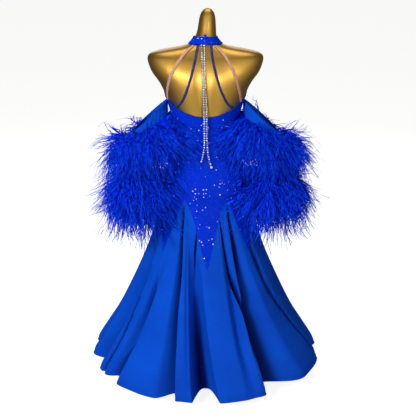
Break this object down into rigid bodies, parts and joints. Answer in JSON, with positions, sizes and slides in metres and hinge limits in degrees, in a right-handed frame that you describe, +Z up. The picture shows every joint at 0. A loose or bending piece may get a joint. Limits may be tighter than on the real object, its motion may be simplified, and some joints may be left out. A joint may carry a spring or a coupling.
{
  "type": "ballroom gown on dress form",
  "caption": "Floor-length ballroom gown with a halter neckband, open strapped back, godet skirt and off-shoulder feather-trimmed sleeves, worn by a limbless dress form on a round base.",
  "frame": {"origin": "centre of the base's underside, on the floor", "axes": "+Z up; the gown's open back faces -Y and its front +Y; the wearer's right is +X"},
  "size_m": [0.9558, 0.8094, 1.458],
  "materials": {
    "sequin_jersey": "royal blue stretch jersey with scattered sequins and glitter",
    "chiffon": "royal blue crepe chiffon, matt",
    "horsehair_hem": "royal blue crepe over a stiff horsehair braid",
    "feather": "royal blue ostrich fringe",
    "nude_elastic": "skin-toned matt elastic",
    "gold": "mirror-gloss metallised gold",
    "steel": "satin",
    "blue_stones": "dark blue rhinestones on elastic",
    "clear_stones": "clear rhinestones in silver cups"
  },
  "bodies": {
    "root": {"stand_base": "steel", "stand_pole": "steel", "stand_flange": "steel", "dress_form": "gold", "bodice_back_left": "sequin_jersey", "bodice_back_right": "sequin_jersey", "bodice_front": "sequin_jersey", "neckband": "sequin_jersey", "neck_button": "sequin_jersey", "skirt_back_left": "chiffon", "skirt_back_right": "chiffon", "skirt_side_right": "chiffon", "skirt_front_right": "chiffon", "skirt_front_left": "chiffon", "skirt_side_left": "chiffon", "hem_band_back_left": "horsehair_hem", "hem_band_back_right": "horsehair_hem", "hem_band_side_right": "horsehair_hem", "hem_band_front_right": "horsehair_hem", "hem_band_front_left": "horsehair_hem", "hem_band_side_left": "horsehair_hem", "sleeve_left": "chiffon", "feathers_upper_left": "feather", "feathers_lower_left": "feather", "sleeve_right": "chiffon", "feathers_upper_right": "feather", "feathers_lower_right": "feather", "strap_nude_left": "nude_elastic", "strap_nude_right": "nude_elastic", "strap_stones_left": "blue_stones", "strap_stones_right": "blue_stones", "chain_left": "clear_stones", "chain_right": "clear_stones", "chain_pendant": "clear_stones"}
  },
  "joints": []
}
